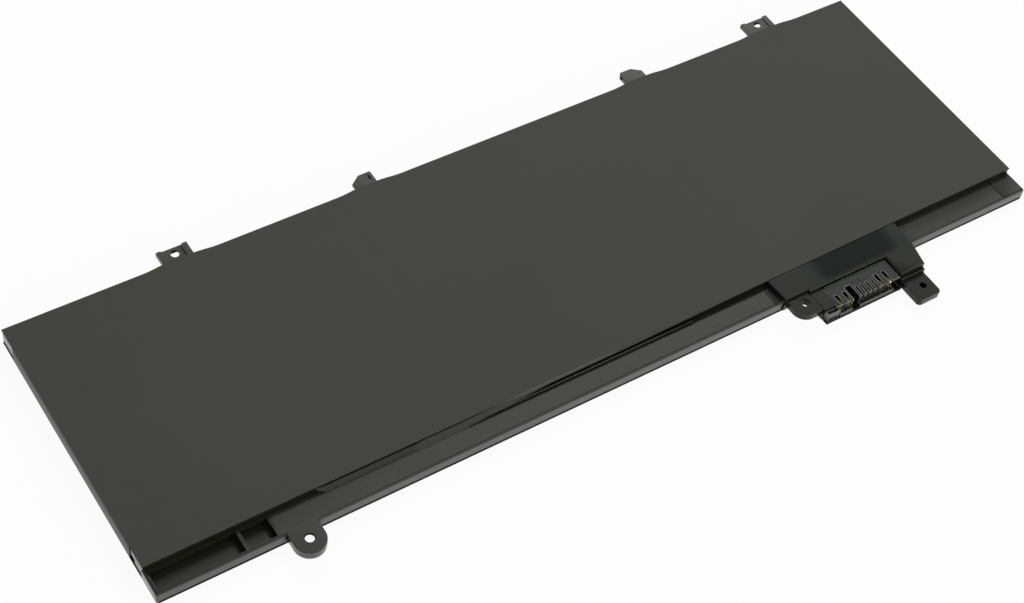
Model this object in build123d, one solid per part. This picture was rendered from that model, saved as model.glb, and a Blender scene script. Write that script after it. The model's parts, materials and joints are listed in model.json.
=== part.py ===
"""Thin internal laptop battery: three pouch cells in a moulded frame.

X runs along the pack, +Y towards the rear screw tabs and +Z up, away from the label.
The origin is the middle of the pack's footprint, on the surface that it lies on.
Every size is in millimetres.
"""

import os

from build123d import *

# Overall pack
pack_length = 290.0
cell_block_depth = 83.0
pack_height = 5.6
film_thickness = 0.2
label_thickness = 0.2
label_overhang = 0.15
label_corner = 0.6
label_lip_height = 0.4
label_lip_gap = 0.1

# Ledge along the front, hollow below with cross ribs
ledge_depth = 7.95
ledge_height = 3.9
ledge_roof = 0.8
ledge_front_wall = 0.8
ledge_edge_round = 0.75
ledge_corner_round = 0.4
ledge_rib_count = 8
ledge_rib_thickness = 1.0
ledge_line_from_right = 8.6
ledge_line_width = 0.4
ledge_line_depth = 0.12

# Walls of the frame
end_wall = 1.2
rear_wall = 0.8
step_wall = 1.0
edge_round = 0.25
overlap = 0.4

# Rib that stands on the ledge beside the step
rib_from_left = 94.0
rib_length = 74.0
rib_gap = 1.2
rib_thickness = 0.4
rib_height = 0.65

# Pockets in the left end of the ledge
pocket_end_wall = 1.1
pocket_back_wall = 1.0
pocket_front_wall = 0.8
pocket_long = 23.9
pocket_short = 7.8
pocket_rib = 1.0
pocket_depth = 1.9

# Windows near the front of both end walls
end_window_from_step = 4.4
end_window_length = 2.6
end_window_height = 2.4

# Film flaps that fold down over the end walls
flap_front_gap = 6.4
flap_rear_gap = 6.0
flap_bottom = 0.3
film_front_lip = 0.15
film_flare_reach = 0.6
film_flare_run = 5.0
film_flare_flat = 0.8
film_overhang = 0.15

# Rear screw tabs
rear_tab_top = 3.9
rear_tab_thickness = 1.5
rear_tab_web = 0.6
rear_tab_rim = 0.8
rear_tab_corner = 1.5
rear_tab_notch = 0.4
left_tab_from_left = 48.0
left_tab_width = 9.4
left_tab_reach = 6.5
left_tab_hole_x = 4.6
left_tab_hole_y = 3.8
left_tab_hole_radius = 1.25
right_tab_from_right = 25.5
right_tab_width = 10.2
right_tab_reach = 6.9
right_tab_hole_x = 4.8
right_tab_hole_y = 4.4
right_tab_hole_radius = 1.2
tab_rib_from_edge = 1.6
tab_rib_width = 0.5
tab_rib_height = 0.25

# Rear hooks
left_hook_from_left = 109.2
left_hook_width = 7.2
left_hook_chamfer_x = 3.2
left_hook_chamfer_y = 2.3
right_hook_from_right = 76.8
right_hook_width = 7.55
right_hook_extra_reach = 0.3
right_hook_chamfer_x = 2.9
right_hook_chamfer_y = 2.2
hook_reach = 6.2
left_hook_thickness = 0.8
hook_corner_x = 0.8
hook_corner_y = 1.05
hook_slot_from_edge = 1.2
hook_slot_width = 0.45
hook_slot_length = 1.8
hook_slot_depth = 0.55
hook_notch_from_tip = 1.5
hook_notch_width = 0.9
hook_notch_floor = 0.3
hook_notch_height = 0.9
hook_notch_depth = 1.2

# Round front screw ear
front_ear_from_left = 40.45
front_ear_reach = 11.55
front_ear_radius = 4.5
front_ear_thickness = 2.6
front_ear_hole_radius = 1.3
front_ear_web = 0.6
front_ear_hollow_radius = 3.1

# Connector housing, moulded on the frame
housing_from_left = 195.3
housing_left_reach = 8.4
housing_left_draft = 0.8
housing_right_reach = 16.8
housing_length = 47.8
housing_taper = 1.9
housing_taper_from = 8.5
housing_roof = 0.8
housing_wall = 1.1
recess_from_housing = 12.7
recess_length = 24.2
recess_reach = 9.3
recess_line_gap = 0.2
recess_line_width = 0.25
recess_line_depth = 0.15
arm_width = 3.9
arm_reach = 16.3
arm_height = 4.6
lip_reach = 17.7
lip_height = 3.8

# Screw ear at the left of the connector
side_ear_gap = 1.2
side_ear_reach = 15.8
side_ear_top = 4.5
side_ear_thickness = 2.3
side_ear_corner = 4.2
side_ear_hole_x = 5.6
side_ear_hole_reach = 11.5
side_ear_hole_radius = 1.15
side_ear_sink_radius = 1.45
side_ear_sink_depth = 0.2

# Screw ear at the right of the connector
long_ear_gap = 0.3
long_ear_width = 8.2
long_ear_reach = 26.1
long_ear_top = 2.95
long_ear_thickness = 2.35
long_ear_corner = 1.2
long_ear_hole_x = 4.7
long_ear_hole_reach = 21.8
long_ear_hole_radius = 1.1

# Pouch cells
cell_count = 3
cell_gap = 0.8
cell_front_gap = 0.5
cell_adhesive = 0.1
cell_adhesive_inset = 6.0
cell_edge_round = 1.2
cell_terrace = 3.0
cell_terrace_thickness = 0.4
tab_width = 5.0
tab_thickness = 0.12
tab_positive_x = 40.0
tab_pitch = 18.0

# Circuit board in the bay between the step and the cells
board_roof_depth = 11.5
board_roof = 0.7
board_from_left = 34.0
board_from_right = 14.0
board_clearance = 0.2
insulator_thickness = 0.3
board_thickness = 0.6
weld_pad_thickness = 0.3
weld_pad_inset = 0.5
weld_pad_depth = 2.8
weld_pad_from_edge = 0.4
tape_thickness = 0.08
tape_margin = 2.0

# Parts soldered on the board: length, depth and height of each
gauge_chip = (4.0, 4.0, 0.85)
protector_chip = (3.0, 3.0, 0.75)
transistor = (3.3, 3.3, 0.9)
fuse = (4.0, 3.0, 0.9)
shunt = (6.3, 3.2, 0.6)
thermistor = (1.6, 0.8, 0.8)
capacitor = (1.6, 0.8, 0.8)
resistor = (1.0, 0.5, 0.35)
passive_count = 8
passive_pitch = 2.6
part_gap = 1.2

# Connector block
connector_left_gap = 0.05
connector_right_gap = 0.4
connector_back_gap = 0.35
connector_reach = 17.1
connector_height = 4.3
base_reach = 18.5
base_height = 0.85
base_overhang = 3.7
base_gap = 0.2
front_lip_height = 2.25
front_lip_gap = 0.2
front_lip_left_end = 5.3
front_lip_right_start = 8.25
front_lip_right_end = 20.8
corner_notch_reach = 1.3
corner_notch_roof = 0.4
post_width = 4.4
post_back_gap = 0.2
post_front_gap = 0.3
post_height = 3.6
post_window = (2.6, 0.6, 0.9)
post_window_from_left = 0.6
post_window_height = 1.15
post_recess_depth = 0.5
post_recess_rim = 0.4
key_from_left = 6.4
key_width = 2.2
key_length = 4.9
wide_slot_width = 1.15
wide_slot_from_left = 2.3
wide_pitch = 2.84
wide_pair_pitch = 15.3
thin_slot_width = 0.6
thin_slot_from_left = 9.8
thin_pitch = 1.88
thin_count = 4
slot_length = 3.7
long_slot_length = 4.4

# Contacts in the connector block
contact_clearance = 0.06
contact_front_gap = 0.3
wide_leaf = 0.2
thin_leaf = 0.12
contact_strip = 0.2
wide_leaf_gap = 0.4
thin_leaf_gap = 1.4
leaf_tail_height = 1.2
leaf_crown = 0.9
leaf_nose = 0.5
contact_tail = 1.6

# Places worked out from the sizes above
half_length = pack_length / 2
rear_reach = max(left_tab_reach, right_tab_reach, hook_reach)
total_depth = long_ear_reach + cell_block_depth + rear_reach
y_step = long_ear_reach - total_depth / 2
y_ledge = y_step - ledge_depth
y_rear = y_step + cell_block_depth
frame_bottom = label_thickness
frame_top = pack_height - film_thickness
frame_half = half_length - film_thickness
bay_half = frame_half - end_wall
bay_front = y_step + step_wall
bay_back = y_rear - rear_wall
rear_tab_bottom = rear_tab_top - rear_tab_thickness

housing_left = housing_from_left - half_length
housing_right = housing_left + housing_length
recess_left = housing_left + recess_from_housing
recess_right = recess_left + recess_length
recess_back = y_step - recess_reach

cell_bottom = frame_bottom + cell_adhesive
cell_length = (2 * bay_half - (cell_count + 1) * cell_gap) / cell_count
cell_front = y_step + board_roof_depth + cell_front_gap
terrace_front = cell_front - cell_terrace
cell_back = bay_back - cell_gap

board_bottom = label_thickness + insulator_thickness
board_top = board_bottom + board_thickness
board_left = board_from_left - half_length
board_right = half_length - board_from_right
board_front = bay_front + board_clearance
board_back = terrace_front - board_clearance
weld_pad_back = board_back - weld_pad_from_edge
weld_pad_front = weld_pad_back - weld_pad_depth
housing_roof_bottom = frame_top - housing_roof
tab_bottom = board_top + weld_pad_thickness
tab_top = tab_bottom + tab_thickness

connector_left = recess_left + connector_left_gap
connector_right = recess_right - connector_right_gap
connector_back = recess_back - connector_back_gap
connector_front = y_step - connector_reach
connector_top = frame_bottom + connector_height


def block(x0, x1, y0, y1, z0, z1):
    """Box between two opposite corners."""
    centre = Pos((x0 + x1) / 2, (y0 + y1) / 2, (z0 + z1) / 2)
    return centre * Box(x1 - x0, y1 - y0, z1 - z0)


def plate(points, z0, z1):
    """Plate with a straight-sided outline between two heights."""
    outline = make_face(Polyline(*points, close=True))
    return Pos(0, 0, z0) * extrude(outline, z1 - z0)


def drill(x, y, radius, z0, z1):
    """Round cutter between two heights."""
    return Pos(x, y, (z0 + z1) / 2) * Cylinder(radius, z1 - z0)


def soften_top(solid, radius=edge_round):
    """Round the edges of a moulded piece's top face."""
    return fillet(solid.edges().group_by(Axis.Z)[-1], radius)


def rear_features():
    """Left and right side of each tab and hook on the rear wall."""
    left_tab = left_tab_from_left - half_length
    left_hook = left_hook_from_left - half_length
    right_hook = half_length - right_hook_from_right - right_hook_width
    right_tab = half_length - right_tab_from_right - right_tab_width
    return [
        (left_tab, left_tab + left_tab_width),
        (left_hook, left_hook + left_hook_width),
        (right_hook, right_hook + right_hook_width),
        (right_tab, right_tab + right_tab_width),
    ]


def block_outline(half, front, rear):
    """Outline of the cell block, which swells out at the root of each tab and hook."""
    points = [(-half, front), (-half, rear)]
    for left, right in rear_features():
        points.append((left - film_flare_run, rear))
        points.append((left - film_flare_flat, rear + film_flare_reach))
        points.append((right + film_flare_flat, rear + film_flare_reach))
        points.append((right + film_flare_run, rear))
    points.append((half, rear))
    points.append((half, front))
    return points


def frame_walls():
    """Walls round the three cells, open above and below for the two films."""
    outline = block_outline(frame_half, y_step, y_rear - film_overhang)
    walls = plate(outline, frame_bottom, frame_top)
    walls -= block(-bay_half, bay_half, bay_front, bay_back, 0, pack_height)
    roof_back = y_step + board_roof_depth
    walls += block(-frame_half, frame_half, y_step, roof_back, frame_top - board_roof, frame_top)
    near = y_step + end_window_from_step
    top = frame_bottom + end_window_height
    for side in (-1, 1):
        x0, x1 = sorted((side * bay_half, side * half_length))
        walls -= block(x0, x1, near, near + end_window_length, frame_bottom, top)
    return walls


def ledge():
    """Low shelf along the front with a rounded front edge."""
    bar = block(-half_length, half_length, y_ledge, y_step + overlap, frame_bottom, ledge_height)
    bar = fillet(bar.edges().filter_by(Axis.Z).group_by(Axis.Y)[0], ledge_corner_round)
    bar = fillet(bar.faces().sort_by(Axis.Z)[-1].edges().group_by(Axis.Y)[0], ledge_edge_round)
    line_x = half_length - ledge_line_from_right
    line_top = ledge_height - ledge_line_depth
    bar -= block(line_x, line_x + ledge_line_width, y_ledge, y_step, line_top, pack_height)
    return bar


def ledge_pockets():
    """Cutters for the two open pockets at the ledge's left end."""
    front = y_ledge + pocket_front_wall
    back = y_step - pocket_back_wall
    floor = ledge_height - pocket_depth
    first = pocket_end_wall - half_length
    second = first + pocket_long + pocket_rib
    long_pocket = block(first, first + pocket_long, front, back, floor, pack_height)
    return long_pocket + block(second, second + pocket_short, front, back, floor, pack_height)


def step_rib():
    """Thin rib on the ledge, just in front of the step."""
    left = rib_from_left - half_length
    back = y_step - rib_gap
    top = ledge_height + rib_height
    return block(left, left + rib_length, back - rib_thickness, back, ledge_height - overlap, top)


def rear_tab(left, width, reach, hole_x, hole_y, hole_radius):
    """Screw tab on the rear wall, with a shallow notch between its two corners."""
    root = y_rear - rear_wall
    tip = y_rear + reach
    shallow = tip - rear_tab_notch
    right = left + width
    points = [
        (left, root),
        (left, tip),
        (left + rear_tab_corner, tip),
        (left + rear_tab_corner, shallow),
        (right - rear_tab_corner, shallow),
        (right - rear_tab_corner, tip),
        (right, tip),
        (right, root),
    ]
    tab = soften_top(plate(points, rear_tab_bottom, rear_tab_top), edge_round / 2)
    rib_right = right - tab_rib_from_edge
    rib_left = rib_right - tab_rib_width
    rib_top = rear_tab_top + tab_rib_height
    tab += block(rib_left, rib_right, root, shallow - rear_tab_notch, rear_tab_bottom, rib_top)
    hollow_left = left + rear_tab_rim
    hollow_right = right - rear_tab_rim
    hollow_top = rear_tab_top - rear_tab_web
    tab -= block(hollow_left, hollow_right, y_rear, shallow - rear_tab_rim, 0, hollow_top)
    return tab - drill(left + hole_x, y_rear + hole_y, hole_radius, 0, pack_height)


def hook(left, width, reach, thickness, left_chamfer, right_chamfer):
    """Flat hook on the rear wall; each chamfer is its size along X and along Y."""
    root = y_rear - rear_wall
    tip = y_rear + reach
    right = left + width
    points = [
        (left, root),
        (left, tip - left_chamfer[1]),
        (left + left_chamfer[0], tip),
        (right - right_chamfer[0], tip),
        (right, tip - right_chamfer[1]),
        (right, root),
    ]
    return soften_top(plate(points, rear_tab_top - thickness, rear_tab_top))


def rear_fixings():
    """Two screw tabs and two hooks along the rear wall."""
    (tab_a, _), (hook_a, hook_a_right), (hook_b, _), (tab_b, _) = rear_features()
    left_tab = rear_tab(
        tab_a, left_tab_width, left_tab_reach, left_tab_hole_x, left_tab_hole_y, left_tab_hole_radius
    )
    right_tab = rear_tab(
        tab_b, right_tab_width, right_tab_reach, right_tab_hole_x, right_tab_hole_y, right_tab_hole_radius
    )
    small = (edge_round, edge_round)
    left_chamfer = (left_hook_chamfer_x, left_hook_chamfer_y)
    left_hook = hook(hook_a, left_hook_width, hook_reach, left_hook_thickness, left_chamfer, small)
    slot_right = hook_a_right - hook_slot_from_edge
    slot_back = y_rear + hook_reach - hook_slot_from_edge
    slot_floor = rear_tab_top - hook_slot_depth
    left_hook -= block(
        slot_right - hook_slot_width, slot_right, slot_back - hook_slot_length, slot_back,
        slot_floor, pack_height,
    )
    near = (hook_corner_x, hook_corner_y)
    far = (right_hook_chamfer_x, right_hook_chamfer_y)
    far_reach = hook_reach + right_hook_extra_reach
    right_hook = hook(hook_b, right_hook_width, far_reach, rear_tab_thickness, near, far)
    notch_back = y_rear + far_reach - hook_notch_from_tip
    notch_floor = rear_tab_bottom + hook_notch_floor
    right_hook -= block(
        hook_b, hook_b + hook_notch_depth, notch_back - hook_notch_width, notch_back,
        notch_floor, notch_floor + hook_notch_height,
    )
    return left_tab + right_tab + left_hook + right_hook


def front_ear():
    """Round screw ear that reaches forward from the ledge."""
    x = front_ear_from_left - half_length
    y = y_step - front_ear_reach
    root = y_ledge + ledge_front_wall
    bottom = ledge_height - front_ear_thickness
    neck = block(x - front_ear_radius, x + front_ear_radius, y, root, bottom, ledge_height)
    ear = neck + drill(x, y, front_ear_radius, bottom, ledge_height)
    ear = soften_top(ear) - drill(x, y, front_ear_hole_radius, 0, pack_height)
    return ear - drill(x, y, front_ear_hollow_radius, 0, ledge_height - front_ear_web)


def housing_body():
    """Raised housing round the connector, with its left arm and stepped right side."""
    root = y_step + overlap
    left_front = y_step - housing_left_reach
    right_front = y_step - housing_right_reach
    taper_from = y_step - housing_taper_from
    arm_left = recess_left - arm_width
    roof_points = [
        (housing_left, root),
        (housing_left + housing_left_draft, left_front),
        (arm_left, left_front),
        (arm_left, recess_back),
        (recess_right, recess_back),
        (recess_right, right_front),
        (housing_right - housing_taper, right_front),
        (housing_right, taper_from),
        (housing_right, root),
    ]
    body = soften_top(plate(roof_points, frame_bottom, frame_top))
    arm_front = y_step - arm_reach
    body += block(arm_left, recess_left, arm_front, recess_back + overlap, frame_bottom, arm_height)
    line_left = recess_right + recess_line_gap
    line_bottom = frame_top - recess_line_depth
    body -= block(
        line_left, line_left + recess_line_width, right_front, recess_back, line_bottom, pack_height
    )
    lip_front = y_step - lip_reach
    lip_right = housing_right - housing_taper
    lip = block(recess_right, lip_right, lip_front, right_front + overlap, frame_bottom, lip_height)
    return body + soften_top(lip)


def side_ear():
    """Sunken screw ear between the housing's left part and its arm."""
    left = housing_left + side_ear_gap
    right = recess_left - arm_width + overlap
    root = y_step - housing_left_reach + overlap
    front = y_step - side_ear_reach
    bottom = side_ear_top - side_ear_thickness
    ear = block(left, right, front, root, bottom, side_ear_top)
    corner = ear.edges().filter_by(Axis.Z).group_by(Axis.Y)[0].sort_by(Axis.X)[0]
    ear = fillet(corner, side_ear_corner)
    ear = soften_top(ear)
    x = left + side_ear_hole_x - side_ear_gap
    y = y_step - side_ear_hole_reach
    ear -= drill(x, y, side_ear_sink_radius, side_ear_top - side_ear_sink_depth, pack_height)
    return ear - drill(x, y, side_ear_hole_radius, 0, pack_height)


def long_ear():
    """Low screw ear in front of the housing's right part."""
    left = recess_right + long_ear_gap
    right = left + long_ear_width
    front = y_step - long_ear_reach
    root = y_step - lip_reach + overlap
    ear = block(left, right, front, root, long_ear_top - long_ear_thickness, long_ear_top)
    corners = ear.edges().filter_by(Axis.Z).group_by(Axis.Y)[0]
    ear = soften_top(fillet(corners, long_ear_corner))
    hole_y = y_step - long_ear_hole_reach
    return ear - drill(left + long_ear_hole_x, hole_y, long_ear_hole_radius, 0, pack_height)


def ledge_hollows():
    """Cutters that hollow the ledge from below and leave its cross ribs."""
    first_solid = pocket_end_wall + pocket_long + pocket_rib + pocket_short + pocket_rib
    left = first_solid - half_length
    right = half_length - end_wall
    front = y_ledge + ledge_front_wall
    pitch = (right - left + ledge_rib_thickness) / ledge_rib_count
    cutters = []
    for index in range(ledge_rib_count):
        x = left + index * pitch
        x_end = x + pitch - ledge_rib_thickness
        cutters.append(block(x, x_end, front, y_step, 0, ledge_height - ledge_roof))
    return cutters


def board_bay():
    """Cutters for the way that the board's tongue takes under the housing's roof."""
    front = y_ledge + ledge_front_wall
    left = housing_left + housing_left_draft + housing_wall
    right = housing_right - housing_wall
    under_roof = block(left, right, front, y_step, 0, housing_roof_bottom)
    tongue = block(recess_left, recess_right, recess_back, bay_front, 0, housing_roof_bottom)
    return under_roof + tongue + housing_core(front)


def housing_core(back):
    """Cutter that hollows the housing's right part to an even wall, open below."""
    left = recess_right + housing_wall
    right = housing_right - housing_taper - housing_wall
    front = y_step - housing_right_reach + housing_wall
    return block(left, right, front, back, 0, housing_roof_bottom)


def tab_centres():
    """Middle of each cell tab along X, with its cell and its pole."""
    places = []
    for index in range(cell_count):
        left = cell_left(index)
        places.append((index, "positive", left + tab_positive_x))
        places.append((index, "negative", left + tab_positive_x + tab_pitch))
    return places


def make_frame():
    """The moulded frame: walls, ledge, housing, ears, tabs and hooks in one piece."""
    frame = frame_walls() + ledge() + housing_body() + side_ear() + long_ear()
    frame += front_ear() + rear_fixings() + step_rib()
    frame -= ledge_pockets()
    frame -= ledge_hollows()
    return frame - board_bay()


def make_top_film():
    """Film over the cells, with a flap folded down over each end wall."""
    outline = block_outline(half_length, y_step - film_front_lip, y_rear)
    film = plate(outline, frame_top, pack_height)
    near = y_step + flap_front_gap
    far = y_rear - flap_rear_gap
    for side in (-1, 1):
        x0, x1 = sorted((side * frame_half, side * half_length))
        film += block(x0, x1, near, far, flap_bottom, frame_top)
    return film


def make_label_film():
    """Bare label sheet on the underside, folded up a little at the front; it closes the board bay."""
    front = y_ledge - label_overhang
    near = half_length - label_corner
    points = [
        (-half_length, front + label_corner),
        (-half_length, y_rear),
        (half_length, y_rear),
        (half_length, front + label_corner),
        (near, front),
        (-near, front),
    ]
    tongue = block(recess_left, recess_right, recess_back, front, 0, label_thickness)
    sheet = plate(points, 0, label_thickness) + tongue
    sheet += block(-near, housing_left - label_lip_gap, front, y_ledge, 0, label_lip_height)
    return sheet + block(housing_right + label_lip_gap, near, front, y_ledge, 0, label_lip_height)


def cell_left(index):
    """Left end of a cell."""
    return -bay_half + cell_gap + index * (cell_length + cell_gap)


def make_cell(index):
    """Sealed pouch: a rounded body with its flat sealed terrace towards the board."""
    left = cell_left(index)
    right = left + cell_length
    body = block(left, right, cell_front, cell_back, cell_bottom, frame_top)
    body = fillet(body.edges().filter_by(Axis.Z), cell_edge_round)
    middle = (tab_bottom + tab_top) / 2
    low = middle - cell_terrace_thickness / 2
    high = middle + cell_terrace_thickness / 2
    inset = cell_edge_round
    return body + block(
        left + inset, right - inset, terrace_front, cell_front + inset, low, high
    )


def make_cell_adhesive(index):
    """Double-sided tape between a cell and the label sheet."""
    left = cell_left(index) + cell_adhesive_inset
    right = left + cell_length - 2 * cell_adhesive_inset
    front = cell_front + cell_adhesive_inset
    back = cell_back - cell_adhesive_inset
    return block(left, right, front, back, frame_bottom, cell_bottom)


def make_cell_tab(x):
    """Flat metal tab from a cell's terrace to its weld pad."""
    left = x - tab_width / 2
    right = x + tab_width / 2
    return block(left, right, weld_pad_front, terrace_front, tab_bottom, tab_top)


def make_weld_pad(x):
    """Nickel pad on the board, under a cell tab."""
    half = tab_width / 2 - weld_pad_inset
    return block(x - half, x + half, weld_pad_front, weld_pad_back, board_top, tab_bottom)


def tape_span(index):
    """Left and right end of the tape over a cell's two tabs."""
    first = cell_left(index) + tab_positive_x
    left = first - tab_width / 2 - tape_margin
    return left, first + tab_pitch + tab_width / 2 + tape_margin


def make_tab_tape(index):
    """Insulating tape over the two tabs of a cell."""
    left, right = tape_span(index)
    top = tab_top + tape_thickness
    return block(left, right, weld_pad_front, weld_pad_back, tab_top, top)


def board_outline(z0, z1):
    """Strip behind the step with a tongue that meets the connector's back."""
    strip = block(board_left, board_right, board_front, board_back, z0, z1)
    left = recess_left + board_clearance
    right = recess_right - board_clearance
    return strip + block(left, right, recess_back, board_back, z0, z1)


def make_circuit_board():
    """Bare circuit board."""
    return board_outline(board_bottom, board_top)


def make_board_insulator():
    """Insulating sheet between the board and the label."""
    return board_outline(label_thickness, board_bottom)


def board_part(size, x, y):
    """Rectangular part on the board, centred at a place."""
    length, depth, height = size
    return block(
        x - length / 2, x + length / 2, y - depth / 2, y + depth / 2, board_top, board_top + height
    )


def board_parts():
    """Parts in the stretches of the board between the cell tabs."""
    y = (board_front + board_back) / 2
    nodes = {}
    right = tape_span(cell_count - 1)[0] - part_gap
    power_parts = {
        "protector_chip": protector_chip,
        "gauge_chip": gauge_chip,
        "shunt_resistor": shunt,
        "transistor_charge": transistor,
        "transistor_discharge": transistor,
        "protection_fuse": fuse,
    }
    for name, size in power_parts.items():
        nodes[name] = board_part(size, right - size[0] / 2, y)
        right -= size[0] + part_gap
    left = tape_span(0)[1] + part_gap
    nodes["thermistor"] = board_part(thermistor, left + thermistor[0] / 2, y)
    left += thermistor[0] + part_gap
    nodes["capacitors"] = passive_row(capacitor, left, y)
    left += passive_pitch * passive_count
    nodes["resistors"] = passive_row(resistor, left, y)
    return nodes


def passive_row(size, left, y):
    """Row of equal small parts, each a solid of its own."""
    first = left + size[0] / 2
    row = [board_part(size, first + passive_pitch * n, y) for n in range(passive_count)]
    return Compound(children=row)


def slot_places():
    """Middle, width, length, leaf and leaf gap of each connector slot, from left to right."""
    wide = [wide_slot_from_left, wide_slot_from_left + wide_pitch]
    far = [place + wide_pair_pitch for place in wide]
    thin = [thin_slot_from_left + thin_pitch * n for n in range(thin_count)]
    slots = [(x, wide_slot_width, slot_length, wide_leaf, wide_leaf_gap) for x in wide]
    slots += [(x, thin_slot_width, slot_length, thin_leaf, thin_leaf_gap) for x in thin]
    slots += [(x, wide_slot_width, long_slot_length, wide_leaf, wide_leaf_gap) for x in far]
    return [(recess_left + x, *sizes) for x, *sizes in slots]


def connector_post():
    """Post at the connector's left front corner, with a window and a sunken top."""
    left = recess_left - base_overhang
    right = left + post_width
    back = y_step - arm_reach - post_back_gap
    front = y_step - base_reach + post_front_gap
    top = frame_bottom + post_height
    post = block(left, right, front, back, frame_bottom, top)
    rim = post_recess_rim
    post -= block(left + rim, right - rim, front + rim, back - rim, top - post_recess_depth, top)
    width, depth, height = post_window
    window_left = left + post_window_from_left
    bottom = frame_bottom + post_window_height
    return post - block(
        window_left, window_left + width, front, front + depth, bottom, bottom + height
    )


def connector_lips():
    """Raised front lip of the base, on both sides of the keying channel."""
    post_right = recess_left - base_overhang + post_width
    front = y_step - base_reach
    top = frame_bottom + front_lip_height
    left_start = post_right + front_lip_gap
    left_end = recess_left + front_lip_left_end
    right_start = recess_left + front_lip_right_start
    right_end = recess_left + front_lip_right_end
    left_lip = block(left_start, left_end, front, connector_front, frame_bottom, top)
    return left_lip + block(right_start, right_end, front, connector_front, frame_bottom, top)


def make_connector_block():
    """Connector moulding: base, slotted block, keying channel and corner post."""
    body = block(
        connector_left, connector_right, connector_front, connector_back, frame_bottom, connector_top
    )
    base_top = frame_bottom + base_height
    base_left = recess_left - base_overhang
    base_right = recess_right + long_ear_gap - base_gap
    base_front = y_step - base_reach
    base_back = y_step - lip_reach - base_gap
    key_left = recess_left + key_from_left
    key_right = key_left + key_width
    key_back = connector_front + key_length
    body -= block(key_left, key_right, connector_front, key_back, base_top, pack_height)
    notch_left = recess_left + front_lip_right_end
    notch_back = connector_front + corner_notch_reach
    notch_top = connector_top - corner_notch_roof
    body -= block(notch_left, connector_right, connector_front, notch_back, base_top, notch_top)
    tunnel_top = board_top + contact_strip + contact_clearance
    tunnel_bottom = board_top - contact_clearance
    for x, width, length, *_ in slot_places():
        half = width / 2
        back = connector_front + length
        body -= block(x - half, x + half, connector_front, back, base_top, pack_height)
        body -= block(x - half, x + half, back, connector_back, tunnel_bottom, tunnel_top)
    body += connector_post() + connector_lips()
    body += block(base_left, base_right, base_front, base_back, frame_bottom, base_top)
    return body + block(base_left, connector_right, base_front, connector_front, frame_bottom, base_top)


def make_contact(x, width, length, leaf, leaf_gap):
    """Folded contact: two upright leaves on a strip whose tail lies on the board."""
    half = width / 2 - contact_clearance
    front = connector_front + contact_front_gap
    back = connector_front + length - contact_clearance
    tail_end = recess_back + contact_tail
    strip_top = board_top + contact_strip
    contact = block(x - half, x + half, front, tail_end, board_top, strip_top)
    leaf_top = connector_top - leaf_gap
    leaf_low = strip_top + leaf_tail_height
    crown = front + leaf_nose
    outline = [
        (0, front, board_top),
        (0, back, board_top),
        (0, back, leaf_low),
        (0, crown + leaf_crown, leaf_top),
        (0, crown, leaf_top),
        (0, front, leaf_top - leaf_nose),
    ]
    side = make_face(Polyline(*outline, close=True))
    wall = extrude(side, leaf, dir=(1, 0, 0))
    return contact + Pos(x - half, 0, 0) * wall + Pos(x + half - leaf, 0, 0) * wall


def make_nodes():
    """Every piece of the pack under its own name."""
    nodes = {
        "frame": make_frame(),
        "top_film": make_top_film(),
        "label_film": make_label_film(),
        "circuit_board": make_circuit_board(),
        "board_insulator": make_board_insulator(),
        "connector_block": make_connector_block(),
    }
    nodes.update(board_parts())
    for index in range(cell_count):
        nodes[f"cell_{index + 1}"] = make_cell(index)
        nodes[f"cell_adhesive_{index + 1}"] = make_cell_adhesive(index)
        nodes[f"tab_tape_{index + 1}"] = make_tab_tape(index)
    for index, pole, x in tab_centres():
        nodes[f"tab_{pole}_{index + 1}"] = make_cell_tab(x)
        nodes[f"weld_pad_{pole}_{index + 1}"] = make_weld_pad(x)
    for number, slot in enumerate(slot_places(), 1):
        nodes[f"contact_{number}"] = make_contact(*slot)
    return nodes


os.makedirs("parts", exist_ok=True)
for name, solid in make_nodes().items():
    export_step(solid, f"parts/{name}.step")
    print(name, round(solid.volume, 2))
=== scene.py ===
# %% [markdown]
# # A laptop battery, dressed in Blender
#
# The solids of this battery are already made: a moulded frame, three pouch cells, two films, a
# circuit board and a connector. This notebook loads them as a fixed frame and gives them their
# looks: the slack in the film, the grain of the moulded plastic and the gold in the connector.
# Each solid keeps its place, so everything new is measured from the frame's own boxes.

# %% Load the frame
import json
import math

import bmesh
import bpy
import numpy as np
from mathutils import Matrix, Vector


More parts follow.
